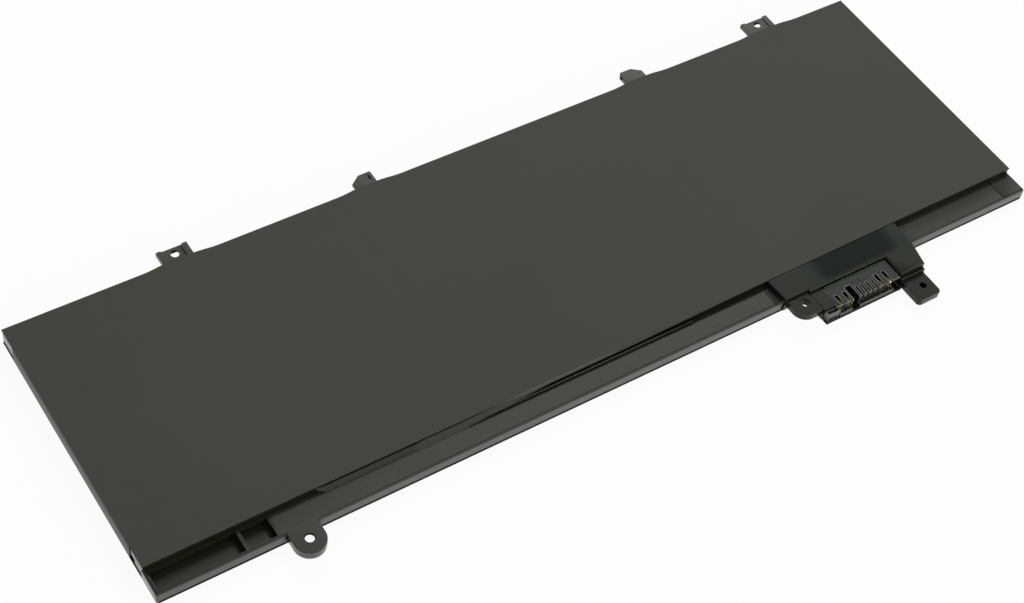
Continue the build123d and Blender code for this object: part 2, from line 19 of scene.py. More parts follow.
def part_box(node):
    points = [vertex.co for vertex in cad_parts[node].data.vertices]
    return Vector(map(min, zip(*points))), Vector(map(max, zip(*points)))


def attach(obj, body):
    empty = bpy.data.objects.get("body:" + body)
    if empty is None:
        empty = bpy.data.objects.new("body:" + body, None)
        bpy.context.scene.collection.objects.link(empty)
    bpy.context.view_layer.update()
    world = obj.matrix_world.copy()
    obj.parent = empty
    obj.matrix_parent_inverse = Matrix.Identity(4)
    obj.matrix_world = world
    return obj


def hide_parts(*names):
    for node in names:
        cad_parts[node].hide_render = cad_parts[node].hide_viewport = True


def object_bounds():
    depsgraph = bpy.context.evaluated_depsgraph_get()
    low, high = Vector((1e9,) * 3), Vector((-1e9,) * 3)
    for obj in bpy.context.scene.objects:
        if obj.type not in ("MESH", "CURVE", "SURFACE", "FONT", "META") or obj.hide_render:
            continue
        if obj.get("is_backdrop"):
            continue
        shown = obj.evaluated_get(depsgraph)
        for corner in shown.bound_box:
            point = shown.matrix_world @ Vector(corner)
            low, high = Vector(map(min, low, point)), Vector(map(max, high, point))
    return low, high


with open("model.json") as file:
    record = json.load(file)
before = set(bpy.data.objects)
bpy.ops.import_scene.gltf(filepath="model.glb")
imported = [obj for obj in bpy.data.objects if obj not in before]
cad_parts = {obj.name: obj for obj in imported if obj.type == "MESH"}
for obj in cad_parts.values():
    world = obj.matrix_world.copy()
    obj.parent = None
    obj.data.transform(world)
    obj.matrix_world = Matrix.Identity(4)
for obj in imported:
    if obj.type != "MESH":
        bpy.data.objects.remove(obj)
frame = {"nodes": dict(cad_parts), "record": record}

MM = 0.001
cad_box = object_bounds()
nodes = frame["nodes"]
size = (cad_box[1] - cad_box[0]) / MM
print("solids loaded:", len(nodes), "size in mm:", [round(value, 2) for value in size])

# %% [markdown]
# ## The places that everything is measured from
#
# The real pack has a thick cell block that drops to a thin front ledge at a step, and a connector
# that stands out in front. Places could be typed in as coordinates, but those would go wrong when
# a solid changes, so they are measured from the solids' boxes. The film's box gives the edges of
# the cell block, and the connector's box gives the plug's left and front sides. Places further
# on are real millimetres from the left end and from the step.

# %% Places on the pack
film_lip = 0.15 * MM          # the film's front edge stands this far over the step
film_swell = 0.6 * MM         # and its rear edge swells out this far at the tabs and hooks
film_low, film_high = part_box("top_film")
left_end = film_low.x
right_end = film_high.x
step_y = film_low.y + film_lip
block_rear = film_high.y - film_swell
block_depth = block_rear - step_y
film_top = film_high.z
plug_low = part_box("connector_block")[0]
plug_left = (plug_low.x - left_end) / MM
plug_front = (plug_low.y - step_y) / MM


def on_pack(along, across):
    """X and Y of a place given in mm from the left end and from the step."""
    return left_end + along * MM, step_y + across * MM


print("cell block:", round((right_end - left_end) / MM, 1), "by", round(block_depth / MM, 1), "mm")

# %% [markdown]
# ## Small helpers
#
# Colours are written as the sRGB hex values that a paint program shows, and Blender's shaders
# work in linear light, so one function converts them. Another adds a shader node with its
# settings and its links, which keeps every material below short enough to read.

# %% Colour and node helpers
def linear(hex_colour):
    """Linear RGBA of an sRGB hex colour, by the curve that the sRGB standard gives."""
    channels = [int(hex_colour[i:i + 2], 16) / 255 for i in (1, 3, 5)]
    curve = [c / 12.92 if c <= 0.04045 else ((c + 0.055) / 1.055) ** 2.4 for c in channels]
    return (*curve, 1.0)


def add(tree, kind, sockets=None, **settings):
    """One node; a socket is given a value, or the output of another node to link."""
    node = tree.nodes.new(kind)
    for key, value in settings.items():
        setattr(node, key, value)
    for key, value in (sockets or {}).items():
        if isinstance(value, bpy.types.NodeSocket):
            tree.links.new(value, node.inputs[key])
        else:
            node.inputs[key].default_value = value
    return node


def new_material(name):
    """An empty node material, its tree and the object coordinates of what wears it."""
    material = bpy.data.materials.new(name)
    material.use_nodes = True
    material.node_tree.nodes.clear()
    place = add(material.node_tree, "ShaderNodeTexCoord").outputs["Object"]
    return material, material.node_tree, place


print("middle grey #808080 is", round(linear("#808080")[0], 3), "in linear light")

# %% [markdown]
# ## The camera
#
# The photograph was taken from above the front left corner with a short telephoto view and a
# small tilt. The angles and the lens below come from fitting the pack's corners in the picture.
# A camera looks along its own -Z axis, so its three axes are built from the view direction and
# then turned about it by the tilt.

# %% Camera
view_azimuth = math.radians(40.5747)
view_elevation = math.radians(50.6893)
view_tilt = math.radians(9.9763)
view_distance = 546.306 * MM
lens = 68.384
aim_along, aim_across, aim_height = 128.748, 30.714, 0.4
aim = Vector((*on_pack(aim_along, aim_across), aim_height * MM))

flat = math.cos(view_elevation)
backward = Vector((
    -math.sin(view_azimuth) * flat,
    -math.cos(view_azimuth) * flat,
    math.sin(view_elevation),
))
level_right = (-backward).cross(Vector((0, 0, 1))).normalized()
camera_right = Matrix.Rotation(view_tilt, 3, backward) @ level_right
camera_up = backward.cross(camera_right)

camera_data = bpy.data.cameras.new("camera")
camera_data.lens = lens
camera_data.clip_start = 0.01
camera = bpy.data.objects.new("camera", camera_data)
axes = Matrix((camera_right, camera_up, backward)).transposed()
camera.matrix_world = Matrix.Translation(aim + backward * view_distance) @ axes.to_4x4()
bpy.context.scene.collection.objects.link(camera)
bpy.context.scene.camera = camera
print("camera stands at", [round(value, 3) for value in camera.matrix_world.translation])

# %% [markdown]
# ## Studio: the floor
#
# The product photograph has a clean white surround. Stronger lamps would make a floor that white
# and wash out the pack as well, so the floor is a white sheet that really catches light and
# shadow, and Light Path lifts what the camera and mirror-like rays see of it towards white. It
# lies a hair below the pack, because two surfaces at one height would flicker, and its back is
# clear, so that the pack's underside can be looked at.

# %% Floor
def see_white(tree, shader_socket, share):
    """Lifts a surface towards white for camera, glossy and transmission rays alone."""
    rays = add(tree, "ShaderNodeLightPath").outputs
    seen = rays["Is Camera Ray"]
    for kind in ("Is Glossy Ray", "Is Transmission Ray"):
        seen = add(tree, "ShaderNodeMath", {0: seen, 1: rays[kind]}, operation="MAXIMUM").outputs[0]
    part = add(tree, "ShaderNodeMath", {0: seen, 1: share}, operation="MULTIPLY").outputs[0]
    white = add(tree, "ShaderNodeEmission", {"Color": (1, 1, 1, 1), "Strength": 1.0}).outputs[0]
    return add(tree, "ShaderNodeMixShader", {0: part, 1: shader_socket, 2: white}).outputs[0]


def make_floor(width, gap):
    """White sheet a gap below the pack, with a clear back."""
    mesh = bpy.data.meshes.new("floor")
    shape = bmesh.new()
    bmesh.ops.create_grid(shape, x_segments=1, y_segments=1, size=width / 2)
    shape.to_mesh(mesh)
    shape.free()
    floor = bpy.data.objects.new("floor", mesh)
    floor.location.z = -gap
    bpy.context.scene.collection.objects.link(floor)
    material, tree, _ = new_material("white_paper_sheet")
    paper = add(tree, "ShaderNodeBsdfDiffuse", {"Color": linear("#F2F2F0")}).outputs[0]
    lifted = see_white(tree, paper, share=0.94)
    below = add(tree, "ShaderNodeNewGeometry").outputs["Backfacing"]
    clear = add(tree, "ShaderNodeBsdfTransparent").outputs[0]
    sheet = add(tree, "ShaderNodeMixShader", {0: below, 1: lifted, 2: clear})
    add(tree, "ShaderNodeOutputMaterial", {"Surface": sheet.outputs[0]})
    mesh.materials.append(material)
    floor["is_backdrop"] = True
    return floor


floor = make_floor(width=8.0, gap=0.03 * MM)
print("floor lies at", round(floor.location.z / MM, 3), "mm")

# %% [markdown]
# ## Studio: the surround and the lamps
#
# Black plastic shows mostly what it mirrors. Round the pack stands a studio that is white near
# the horizon and dim overhead, as a cyclorama is, so the upright faces pick up white and the
# tops stay dark. A large key softbox hangs nine metres off, behind the right end: from that far
# its light meets the whole pack at one angle, so the film keeps one even tone and the shadows
# beside the step stay short. A weaker softbox in front of the pack lights its front wall.

# %% Surround and lamps
def make_world(horizon, overhead, fade_start, fade_end):
    """White surround of two strengths; a direction's height runs from 0, level, to 1, upright."""
    world = bpy.data.worlds.new("studio")
    world.use_nodes = True
    tree = world.node_tree
    tree.nodes.clear()
    direction = add(tree, "ShaderNodeTexCoord").outputs["Generated"]
    height = add(tree, "ShaderNodeSeparateXYZ", {0: direction}).outputs["Z"]
    strength = add(tree, "ShaderNodeMapRange", {
        "Value": height, "From Min": fade_start, "From Max": fade_end,
        "To Min": horizon, "To Max": overhead,
    }).outputs[0]
    light = add(tree, "ShaderNodeBackground", {"Color": (1, 1, 1, 1), "Strength": strength})
    add(tree, "ShaderNodeOutputWorld", {"Surface": light.outputs[0]})
    bpy.context.scene.world = world


lamp_colour = (0.985, 1.0, 0.95)        # linear, a trace greener than white


def make_softbox(name, direction, distance, width, depth, power):
    """Rectangular lamp that faces the middle of the pack."""
    place = Vector(direction).normalized() * distance
    data = bpy.data.lights.new(name, "AREA")
    data.shape = "RECTANGLE"
    data.size = width
    data.size_y = depth
    data.energy = power
    data.color = lamp_colour
    lamp = bpy.data.objects.new(name, data)
    facing_pack = place.to_track_quat("Z", "Y").to_matrix().to_4x4()
    lamp.matrix_world = Matrix.Translation(place) @ facing_pack
    bpy.context.scene.collection.objects.link(lamp)


make_world(horizon=1.0, overhead=0.22, fade_start=0.05, fade_end=0.6)
make_softbox("key_softbox", (0.50, 0.595, 0.629), distance=9.0, width=2.6, depth=2.2, power=440.0)
make_softbox("front_softbox", (0.412, -0.85, 0.33), distance=2.2, width=1.4, depth=1.2, power=24.0)
bpy.context.scene.view_settings.view_transform = "Standard"
print("lamps:", [lamp.name for lamp in bpy.data.lights])

# %% [markdown]
# ## Masks: where a finish changes
#
# Handling, grease and shade change the real surfaces in some places only. A painted image could
# say where, but it would need unwrapped solids and would blur up close. A mask made of nodes is
# a number from 0 to 1 at each point of a surface, and follows the pack's own sizes. These masks
# ask four things of a point: where it is, which way it faces, how near an edge it lies and how
# open it lies to the light.

# %% Masks by place
def soft_box(tree, place, along, across, blur):
    """1 inside a box seen from above, 0 outside; its two spans and its blur each way are in mm."""
    axes = add(tree, "ShaderNodeSeparateXYZ", {0: place}).outputs
    inside = 1.0
    for axis, origin, span in ((0, left_end, along), (1, step_y, across)):
        fade = blur[axis] * MM
        low, high = (origin + edge * MM for edge in span)
        for start, end in ((low - fade, low + fade), (high + fade, high - fade)):
            side = add(tree, "ShaderNodeMapRange", {
                "Value": axes[axis], "From Min": start, "From Max": end,
            }, interpolation_type="SMOOTHSTEP").outputs[0]
            inside = add(tree, "ShaderNodeMath", {0: inside, 1: side}, operation="MULTIPLY").outputs[0]
    return inside


def round_spot(tree, place, centre, radius, blur):
    """1 round an upright axis, 0 beyond the radius; centre, radius and blur are in mm."""
    level = add(tree, "ShaderNodeVectorMath", {0: place, 1: (1, 1, 0)}, operation="MULTIPLY").outputs[0]
    away = add(tree, "ShaderNodeVectorMath", {
        0: level, 1: (*on_pack(*centre), 0),
    }, operation="DISTANCE").outputs["Value"]
    return add(tree, "ShaderNodeMapRange", {
        "Value": away, "From Min": (radius + blur) * MM, "From Max": (radius - blur) * MM,
    }, interpolation_type="SMOOTHSTEP").outputs[0]


# %% Masks by shape
def facing(tree, place, axis, start, end):
    """0 where the normal's part along an axis is start, 1 where it is end, smooth between."""
    normal = place.node.outputs["Normal"]
    part = add(tree, "ShaderNodeSeparateXYZ", {0: normal}).outputs[axis]
    return add(tree, "ShaderNodeMapRange", {
        "Value": part, "From Min": start, "From Max": end,
    }, interpolation_type="SMOOTHSTEP").outputs[0]


def upright(tree, place):
    """1 on walls, 0 on flat tops and undersides."""
    above = facing(tree, place, "Z", 0.5, 0.15)
    below = facing(tree, place, "Z", -0.5, -0.15)
    return add(tree, "ShaderNodeMath", {0: above, 1: below}, operation="MULTIPLY").outputs[0]


def rounded_edge(tree, place):
    """1 on the rounded edges between a flat top and a wall, 0 on both."""
    rise = facing(tree, place, "Z", 0.25, 0.55)
    fall = facing(tree, place, "Z", 0.97, 0.8)
    return add(tree, "ShaderNodeMath", {0: rise, 1: fall}, operation="MULTIPLY").outputs[0]


def rims(tree, reach):
    """1 along edges, fading to 0 within reach, in mm, of them."""
    rounded = add(tree, "ShaderNodeBevel", {"Radius": reach * MM}, samples=8).outputs[0]
    plain = add(tree, "ShaderNodeNewGeometry").outputs["Normal"]
    turn = add(tree, "ShaderNodeVectorMath", {0: rounded, 1: plain}, operation="DOT_PRODUCT")
    return add(tree, "ShaderNodeMapRange", {
        "Value": turn.outputs["Value"], "From Min": 0.99, "From Max": 0.88,
    }).outputs[0]


def openness(tree, reach, shut=0.35, open_from=0.8):
    """1 on open surfaces, towards 0 deep in holes and corners; reach is in mm."""
    shade = add(tree, "ShaderNodeAmbientOcclusion", {"Distance": reach * MM}, samples=8, only_local=True)
    return add(tree, "ShaderNodeMapRange", {
        "Value": shade.outputs["AO"], "From Min": shut, "From Max": open_from,
    }).outputs[0]


# %% [markdown]
# ## Putting a material together
#
# Every finish on the pack is a base colour with other tones over it, a relief and a shader. Tones
# could be mixed in one large node group, but a chain of plain mixes is easier to follow: each
# covers the last where its mask is 1. Noise patterns are given the real size of their features.

# %% Material helpers
def per_metre(millimetres):
    """Texture scale that makes one feature of a noise this many millimetres across."""
    return 1 / (millimetres * MM)


def strongest(tree, masks):
    """The largest of several masks at each place, each times its weight."""
    most = 0.0
    for mask, weight in masks:
        part = add(tree, "ShaderNodeMath", {0: mask, 1: weight}, operation="MULTIPLY").outputs[0]
        most = add(tree, "ShaderNodeMath", {0: most, 1: part}, operation="MAXIMUM").outputs[0]
    return most


def toned(tree, base, tones):
    """A base colour with tones laid over it in turn, each where its mask is 1."""
    colour = linear(base)
    for mask, tone in tones:
        colour = add(tree, "ShaderNodeMix", {
            "Factor": mask, "A": colour, "B": linear(tone),
        }, data_type="RGBA").outputs["Result"]
    return colour


def finish_surface(tree, sockets, relief, strength, depth):
    """Ends a material: its shader's sockets, and bumps of a depth in mm from a relief."""
    bump = add(tree, "ShaderNodeBump", {"Strength": strength, "Distance": depth * MM, "Height": relief})
    shader = add(tree, "ShaderNodeBsdfPrincipled", {**sockets, "Normal": bump.outputs[0]})
    add(tree, "ShaderNodeOutputMaterial", {"Surface": shader.outputs[0]})


print("a grain of 1 mm has texture scale", round(per_metre(1)))

# %% [markdown]
# ## Finish 1: moulded frame plastic
#
# The frame is black PC/ABS. Its flat tops were spark-eroded in the tool, which gives a fine even
# grain. Its upright walls were left smooth so that the part slides out of the tool, so they
# mirror what stands next to them: the white floor outside, the dark ledge inside. Two materials
# would meet in a hard line, so one material tells tops from walls by the object normal. Handling
# and heat have dulled the connector housing and the green-black patch on it, and the ledge on both
# sides of the housing and the pockets lose their shine as painted shade. Soft-edged boxes in object
# coordinates mark these places. The rounded edges on the housing and the front ear are painted
# pale, as highlights. Corners and holes see little light, which ambient occlusion finds, so they
# lose their shine, and some of the screw holes and a ring round the front ear's hole are painted
# black, as shade. The real grain is about 0.1 mm, too fine to show, so it is drawn at 0.45 mm.

# %% Places where the frame looks different
# Two spans, along and across the pack, and the blur each way, in mm from the left end and the step.
frame_marks = {
    "patch": ((207.5, 241.5), (-10, 5), (6.5, 3)),
    "housing": ((195, 243.5), (-27, -0.2), (1, 0.5)),
    "ledge_right": ((240, 292), (-4.5, -0.1), (4, 2.2)),
    "ledge_by_step": ((158, 196), (-2.1, -0.1), (9, 0.3)),
    "ledge_by_housing": ((192.9, 195.5), (-7.6, -0.1), (0.3, 0.3)),
    "pockets": ((1, 34.6), (-5.5, -0.2), (0.3, 1.8)),
    "front_ear": ((35.5, 45.5), (-17, -8.6), (0.5, 0.5)),
}
# How much of its shine each place has lost: the patch and the housing are dulled, and on the ledge and in the
# pockets the lost shine is painted shade.
dulled_and_shaded = {
    "patch": 1.0, "housing": 0.7, "ledge_right": 0.45, "ledge_by_step": 0.75,
    "ledge_by_housing": 0.8, "pockets": 0.5,
}
front_ear_hole = (40.45, -11.55)
side_ear_hole = (200.9, -11.5)
print("marked places on the frame:", ", ".join(frame_marks))

# %% Frame plastic
grain_width = 0.45
cloud_width = 14.0
# Specular levels, of which 0.5 is the plastic's own.
top_gloss = 0.38
wall_gloss = 0.7
dull_and_shaded_gloss = 0.06
hole_gloss = 0.02


def shaded_holes(tree, place):
    """Painted shade: 1 in the rear tabs' holes on walls facing the front, and round the front ear's hole."""
    depth = add(tree, "ShaderNodeSeparateXYZ", {0: place}).outputs["Y"]
    behind = add(tree, "ShaderNodeMapRange", {
        "Value": depth, "From Min": block_rear + 0.5 * MM, "From Max": block_rear + 1.0 * MM,
    }).outputs[0]
    to_front = facing(tree, place, "Y", -0.2, -0.5)
    rear_holes = add(tree, "ShaderNodeMath", {0: to_front, 1: behind}, operation="MULTIPLY").outputs[0]
    ear_ring = round_spot(tree, place, front_ear_hole, radius=1.5, blur=0.12)
    return strongest(tree, [(rear_holes, 1.0), (ear_ring, 1.0)])


def frame_gloss(tree, place, wall, marks, holes):
    """Specular level: higher on walls, lost in dull places, in painted shade, corners and holes."""
    clean = add(tree, "ShaderNodeMapRange", {
        "Value": wall, "To Min": top_gloss, "To Max": wall_gloss,
    }).outputs[0]
    dulled_and_shaded_share = strongest(tree, [(marks[name], weight) for name, weight in dulled_and_shaded.items()])
    gloss = add(tree, "ShaderNodeMix", {"Factor": dulled_and_shaded_share, "A": clean, "B": dull_and_shaded_gloss}, data_type="FLOAT")
    bare = add(tree, "ShaderNodeMix", {
        "Factor": wall, "A": openness(tree, 1.5), "B": openness(tree, 2.5, shut=0.55, open_from=0.9),
    }, data_type="FLOAT")
    side_hole = round_spot(tree, place, side_ear_hole, radius=1.7, blur=0.1)
    lit = strongest(tree, [(bare.outputs[0], 1.0), (side_hole, 0.5)])
    gloss = add(tree, "ShaderNodeMath", {0: gloss.outputs[0], 1: lit}, operation="MULTIPLY")
    return add(tree, "ShaderNodeMix", {
        "Factor": holes, "A": gloss.outputs[0], "B": hole_gloss,
    }, data_type="FLOAT").outputs[0]


def frame_plastic():
    """Black PC/ABS: eroded grain on top, smooth walls and a dull patch by the connector."""
    material, tree, place = new_material("moulded_pc_abs")
    grain = add(tree, "ShaderNodeTexNoise", {
        "Vector": place, "Scale": per_metre(grain_width), "Detail": 3.0,
    }).outputs["Fac"]
    cloud = add(tree, "ShaderNodeTexNoise", {
        "Vector": place, "Scale": per_metre(cloud_width), "Detail": 2.0,
    }).outputs["Fac"]
    marks = {name: soft_box(tree, place, *spans) for name, spans in frame_marks.items()}
    # Painted highlights: the rounded edges on the housing and the front ear are painted pale.
    highlighted = strongest(tree, [(marks["housing"], 1.0), (marks["front_ear"], 0.7)])
    edges = add(tree, "ShaderNodeMath", {0: rounded_edge(tree, place), 1: highlighted}, operation="MULTIPLY")
    holes = shaded_holes(tree, place)
    wall = upright(tree, place)
    # The pale edge tone is painted highlight, and the near-black in the holes is painted shade.
    colour = toned(tree, "#1C1C14", [
        (cloud, "#242419"), (marks["housing"], "#1F201D"), (marks["patch"], "#0F1815"),
        (edges.outputs[0], "#4A4B42"), (holes, "#050505"),
    ])
    eroded = add(tree, "ShaderNodeMapRange", {"Value": grain, "To Min": 0.50, "To Max": 0.66})
    roughness = add(tree, "ShaderNodeMix", {
        "Factor": wall, "A": eroded.outputs[0], "B": 0.2,
    }, data_type="FLOAT").outputs[0]
    finish_surface(tree, {
        "Base Color": colour, "Roughness": roughness, "IOR": 1.58,
        "Specular IOR Level": frame_gloss(tree, place, wall, marks, holes),
    }, relief=grain, strength=0.3, depth=0.03)
    return material


finishes = {"frame_plastic": frame_plastic()}
print("frame plastic nodes:", len(finishes["frame_plastic"].node_tree.nodes))

# %% [markdown]
# ## Finish 2: the black films
#
# Both films are black polyester with a matte print. Matte print scatters light more than the
# moulding does, and its tone drifts slightly over the sheet. The cut edge and the underside that
# turns out along the step are painted darker and duller, as the shade under the edge, which draws
# a thin black line there, fainter over the housing. A short stretch of that edge is painted pale,
# as a highlight. They could have materials of their own, but the sheet is one mesh, so a mask of
# the faces that turn to the front finds them. The flap at the left end shines more towards the
# bottom, a painted sheen. The label side is the same kind of film, left bare here. The matting
# agent's grain is microns wide, so it is drawn at 0.6 mm.

# %% Film finish
matting_width = 0.6
sweep_width = 45.0
cut_edge_gloss = 0.12
flap_roughness = 0.5
flap_foot = 0.5 * MM
flap_top = 5.3 * MM
# Two spans and the blur each way, as for the frame.
highlight_stretch = ((108, 140), (-0.62, -0.22), (8, 0.1))
over_housing = ((196, 243), (-3, 3), (2, 1))


def film_gloss(tree, place, front, flap, level):
    """Specular level: low on the cut edge, and a painted sheen rising towards the bottom of the left end's
    flap.
    """
    sheet = add(tree, "ShaderNodeMapRange", {
        "Value": front, "To Min": level, "To Max": cut_edge_gloss,
    }).outputs[0]
    height = add(tree, "ShaderNodeSeparateXYZ", {0: place}).outputs["Z"]
    flap_sheen = add(tree, "ShaderNodeMapRange", {
        "Value": height, "From Min": flap_foot, "From Max": flap_top, "To Min": 1.0, "To Max": 0.08,
    }).outputs[0]
    return add(tree, "ShaderNodeMix", {"Factor": flap, "A": sheet, "B": flap_sheen}, data_type="FLOAT").outputs[0]


def black_film(name, dark, pale, low_rough, high_rough, gloss_level):
    """Matte printed polyester film; its cut front edge is painted dark as shade and its left end is glossier.
    """
    material, tree, place = new_material(name)
    matting = add(tree, "ShaderNodeTexNoise", {
        "Vector": place, "Scale": per_metre(matting_width), "Detail": 2.0,
    }).outputs["Fac"]
    sweep = add(tree, "ShaderNodeTexNoise", {
        "Vector": place, "Scale": per_metre(sweep_width), "Detail": 2.0,
    }).outputs["Fac"]
    # Painted highlight along a stretch of the film's front edge.
    edge_highlight = soft_box(tree, place, *highlight_stretch)
    housing = soft_box(tree, place, *over_housing)
    kept = add(tree, "ShaderNodeMapRange", {"Value": housing, "To Min": 1.0, "To Max": 0.3}).outputs[0]
    # Painted shade: faces that turn to the front, under the film's edge, are painted near-black.
    to_front = facing(tree, place, "Y", -0.72, -0.9)
    front = add(tree, "ShaderNodeMath", {0: to_front, 1: kept}, operation="MULTIPLY").outputs[0]
    flap = facing(tree, place, "X", -0.5, -0.8)
    rough = add(tree, "ShaderNodeMapRange", {"Value": matting, "To Min": low_rough, "To Max": high_rough})
    roughness = add(tree, "ShaderNodeMix", {
        "Factor": flap, "A": rough.outputs[0], "B": flap_roughness,
    }, data_type="FLOAT").outputs[0]
    finish_surface(tree, {
        "Base Color": toned(tree, dark, [(sweep, pale), (edge_highlight, "#55564E"), (front, "#0C0C0A")]),
        "Roughness": roughness, "IOR": 1.5,
        "Specular IOR Level": film_gloss(tree, place, front, flap, gloss_level),
    }, relief=matting, strength=0.2, depth=0.015)
    return material


finishes["top_film"] = black_film("matte_film", "#3B3C36", "#3F403A", 0.70, 0.80, gloss_level=0.34)
finishes["label_film"] = black_film("label_sheet", "#131312", "#1A1A18", 0.55, 0.65, gloss_level=0.5)
print("film nodes:", len(finishes["top_film"].node_tree.nodes))

# %% [markdown]
# ## Finish 3: the connector's glass-filled plastic
#
# The connector is a glass-filled nylon part. The short glass fibres show as pale flecks where
# they lie at the surface, and the plastic is a shade greener than the frame. Flecks are the high
# points of a fine noise, kept apart by a steep ramp. The slots' rims are painted pale, as
# highlights: a Bevel node turns the normal near an edge, and how far it turns is the mask. A box
# keeps the edges of the connector's left side black, without these highlights. Deep places and
# the foot of the walls, which face the floor's shadow, are painted black, as shade.

# %% Connector plastic
fibre_width = 0.35
rim_width = 0.35
foot_start, foot_end = 0.8 * MM, 1.3 * MM
polish_start, polish_end = 1.6 * MM, 2.6 * MM
side_without_highlights = ((plug_left + 1.5, plug_left + 4.9), (plug_front + 2.3, 0), (0.2, 0.2))


def rim_highlights(tree, place, wall):
    """Painted highlight: 1 along the slots' rims, faint on the walls and 0 on the left side."""
    spared = strongest(tree, [(wall, 0.8), (soft_box(tree, place, *side_without_highlights), 1.0)])
    kept = add(tree, "ShaderNodeMath", {0: 1.0, 1: spared}, operation="SUBTRACT").outputs[0]
    return add(tree, "ShaderNodeMath", {
        0: rims(tree, rim_width), 1: kept,
    }, operation="MULTIPLY").outputs[0]


def connector_plastic():
    """Black glass-filled plastic with pale flecks, rims painted pale as highlights and slots painted dark as
    shade.
    """
    material, tree, place = new_material("glass_filled_nylon")
    fibres = add(tree, "ShaderNodeTexNoise", {
        "Vector": place, "Scale": per_metre(fibre_width), "Detail": 4.0,
    }).outputs["Fac"]
    fleck = add(tree, "ShaderNodeMapRange", {"Value": fibres, "From Min": 0.58, "From Max": 0.72}).outputs[0]
    wall = upright(tree, place)
    height = add(tree, "ShaderNodeSeparateXYZ", {0: place}).outputs["Z"]
    above_foot = add(tree, "ShaderNodeMapRange", {
        "Value": height, "From Min": foot_start, "From Max": foot_end,
    }).outputs[0]
    lit = add(tree, "ShaderNodeMath", {
        0: openness(tree, 1.2), 1: above_foot,
    }, operation="MULTIPLY").outputs[0]
    # Painted shade: deep places and the foot of the walls are painted near-black.
    dark = add(tree, "ShaderNodeMath", {0: 1.0, 1: lit}, operation="SUBTRACT").outputs[0]
    polish = add(tree, "ShaderNodeMapRange", {
        "Value": height, "From Min": polish_start, "From Max": polish_end, "To Min": 0.12, "To Max": 0.8,
    }).outputs[0]
    gloss = add(tree, "ShaderNodeMix", {"Factor": wall, "A": 0.32, "B": polish}, data_type="FLOAT")
    gloss = add(tree, "ShaderNodeMath", {0: gloss.outputs[0], 1: lit}, operation="MULTIPLY").outputs[0]
    rough = add(tree, "ShaderNodeMapRange", {"Value": wall, "To Min": 0.6, "To Max": 0.4}).outputs[0]
    finish_surface(tree, {
        "Base Color": toned(tree, "#161A17", [
            (fleck, "#4A4C47"), (rim_highlights(tree, place, wall), "#A6A89F"), (dark, "#040404"),
        ]),
        "Roughness": rough, "IOR": 1.55, "Specular IOR Level": gloss,
    }, relief=fibres, strength=0.3, depth=0.02)
    return material


finishes["connector_plastic"] = connector_plastic()
print("connector plastic nodes:", len(finishes["connector_plastic"].node_tree.nodes))

# %% [markdown]
# ## Finish 4: metals
#
# A metal's colour is its reflection, so metallic is 1 and the default IOR stays. What differs
# is how the surface was made: the contacts are stamped and gold flashed, the tabs are rolled
# strip with fine lines along the rolling direction, and the pouch is satin laminated foil. One
# noise draws all three, stretched across the pack for the contacts and the strip.

# %% Metal finishes
stamped_grain = (0.3, 1.2, 0.3)
rolled_grain = (0.15, 2.0, 0.15)
satin_grain = (3.0, 3.0, 3.0)


def metal(name, dark, pale, low_rough, high_rough, grain_size):
    """Metal whose roughness and colour vary along stretched grain; grain_size is in mm."""
    material, tree, place = new_material(name)
    scale = [per_metre(length) for length in grain_size]
    stretched = add(tree, "ShaderNodeMapping", {"Vector": place, "Scale": scale}).outputs[0]
    lines = add(tree, "ShaderNodeTexNoise", {"Vector": stretched, "Scale": 1.0, "Detail": 3.0}).outputs["Fac"]
    rough = add(tree, "ShaderNodeMapRange", {"Value": lines, "To Min": low_rough, "To Max": high_rough})
    finish_surface(tree, {
        "Base Color": toned(tree, dark, [(lines, pale)]), "Roughness": rough.outputs[0], "Metallic": 1.0,
    }, relief=lines, strength=0.2, depth=0.01)
    return material


finishes.update({
    "contact_gold": metal("gold_flashed_copper", "#EADDA8", "#FBF6DE", 0.30, 0.44, stamped_grain),
    "aluminium_tab": metal("rolled_aluminium", "#B9BBBE", "#D6D7D9", 0.28, 0.42, rolled_grain),
    "nickel": metal("rolled_nickel", "#A39F95", "#C4C0B6", 0.26, 0.40, rolled_grain),
    "pouch_foil": metal("laminated_foil", "#A9ABAE", "#BFC1C3", 0.38, 0.55, satin_grain),
})
print("finishes so far:", len(finishes))

# %% [markdown]
# ## Finish 5: board, chips, tape and glue
#
# These are inside the pack. They still get what they really are: green solder mask that is
# glossy over copper, matte moulded epoxy, fired ceramic, fish paper, amber tape and cloudy
# adhesive. All of them are mottled a little, so one function makes them, with other colours,
# spots and roughness for each.

# %% Inner finishes
rough_drift = 0.06


def speckled(name, dark, pale, spot, roughness, ior, coat=0.0):
    """Plastic, ceramic or lacquer with a mottled colour; spot is in mm."""
    material, tree, place = new_material(name)
    mottle = add(tree, "ShaderNodeTexNoise", {
        "Vector": place, "Scale": per_metre(spot), "Detail": 3.0,
    }).outputs["Fac"]
    rough = add(tree, "ShaderNodeMapRange", {
        "Value": mottle, "To Min": roughness - rough_drift, "To Max": roughness + rough_drift,
    })
    finish_surface(tree, {
        "Base Color": toned(tree, dark, [(mottle, pale)]), "Roughness": rough.outputs[0],
        "IOR": ior, "Coat Weight": coat,
    }, relief=mottle, strength=0.2, depth=0.02)
    return material


